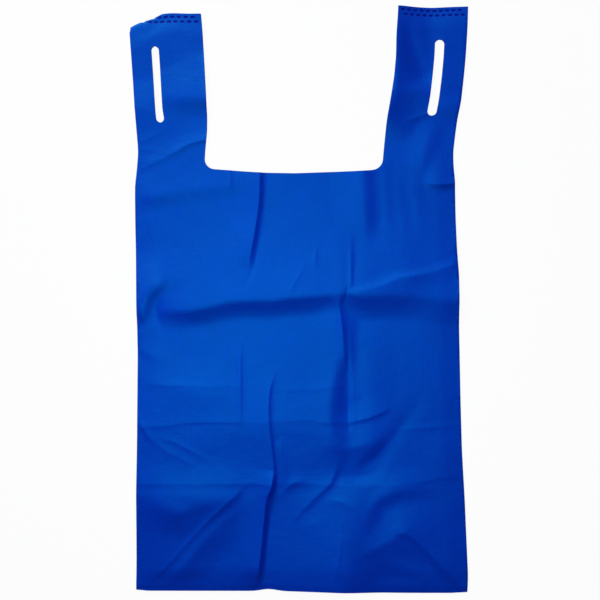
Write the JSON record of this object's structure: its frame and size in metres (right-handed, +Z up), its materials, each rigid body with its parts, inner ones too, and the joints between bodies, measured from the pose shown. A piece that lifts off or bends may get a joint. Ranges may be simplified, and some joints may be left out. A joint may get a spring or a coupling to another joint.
{
  "type": "non-woven t-shirt bag",
  "caption": "Blue non-woven t-shirt carrier bag lying flat: a gusseted cloth tube with a square neck cut-out and two strap handles, each with a hand slot and welded top.",
  "frame": {"origin": "on the surface that the bag lies on, under the middle of its box", "axes": "+Y from the sealed bottom towards the handles, +Z up out of the front of the bag, +X to the right handle as seen from the front"},
  "size_m": [0.313, 0.5404, 0.0071],
  "materials": {
    "nonwoven_cloth": "matt blue spunbond polypropylene"
  },
  "bodies": {
    "root": {"tshirt_bag": "nonwoven_cloth"}
  },
  "joints": []
}
